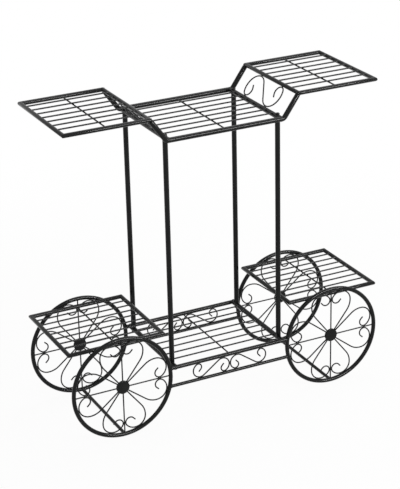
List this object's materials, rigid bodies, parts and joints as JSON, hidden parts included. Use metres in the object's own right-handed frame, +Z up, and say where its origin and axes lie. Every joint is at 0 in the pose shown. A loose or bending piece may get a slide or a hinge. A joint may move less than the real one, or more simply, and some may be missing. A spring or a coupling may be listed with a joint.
{
  "type": "flower cart stand",
  "caption": "Black steel flower cart stand with scrolled wheels, a low tray, a raised crown shelf with wing shelves, and small shelves between the wheels.",
  "frame": {"origin": "on the floor, under the middle of the stand", "axes": "+X along the length of the cart, from the left wing to the right; +Y from the front wheels to the rear wheels; +Z up"},
  "size_m": [0.8514, 0.2766, 0.8],
  "materials": {
    "black_powder_coat": "satin",
    "blackened_bolts": "satin",
    "plain_steel": "brushed"
  },
  "bodies": {
    "root": {"crown_front_tube": "black_powder_coat", "crown_rear_tube": "black_powder_coat", "crown_left_end_rail": "black_powder_coat", "crown_right_end_rail": "black_powder_coat", "crown_wires": "black_powder_coat", "crown_cross_wire": "black_powder_coat", "right_wing_frame": "black_powder_coat", "right_wing_wires": "black_powder_coat", "right_wing_cross_wire": "black_powder_coat", "right_wing_scroll": "black_powder_coat", "left_wing_frame": "black_powder_coat", "left_wing_wires": "black_powder_coat", "left_wing_cross_wire": "black_powder_coat", "left_wing_scroll": "black_powder_coat", "front_left_post": "black_powder_coat", "rear_left_post": "black_powder_coat", "front_right_post": "black_powder_coat", "rear_right_post": "black_powder_coat", "post_top_bolts": "blackened_bolts", "post_foot_bolts": "blackened_bolts", "post_inserts": "plain_steel", "front_wheel_rims": "black_powder_coat", "front_wheel_hubs": "black_powder_coat", "front_wheel_spokes": "black_powder_coat", "front_wheel_scrolls": "black_powder_coat", "rear_wheel_rims": "black_powder_coat", "rear_wheel_hubs": "black_powder_coat", "rear_wheel_spokes": "black_powder_coat", "rear_wheel_scrolls": "black_powder_coat", "left_floor_tie": "black_powder_coat", "right_floor_tie": "black_powder_coat", "tray_front_upper_rail": "black_powder_coat", "tray_front_lower_rail": "black_powder_coat", "tray_rear_upper_rail": "black_powder_coat", "tray_rear_lower_rail": "black_powder_coat", "tray_left_end_rail": "black_powder_coat", "tray_right_end_rail": "black_powder_coat", "tray_wires": "black_powder_coat", "tray_cross_wire": "black_powder_coat", "tray_front_scrolls": "black_powder_coat", "tray_rear_scrolls": "black_powder_coat", "right_wheel_shelf_frame": "black_powder_coat", "right_wheel_shelf_wires": "black_powder_coat", "right_wheel_shelf_cross_wire": "black_powder_coat", "left_wheel_shelf_frame": "black_powder_coat", "left_wheel_shelf_wires": "black_powder_coat", "left_wheel_shelf_cross_wire": "black_powder_coat"}
  },
  "joints": []
}
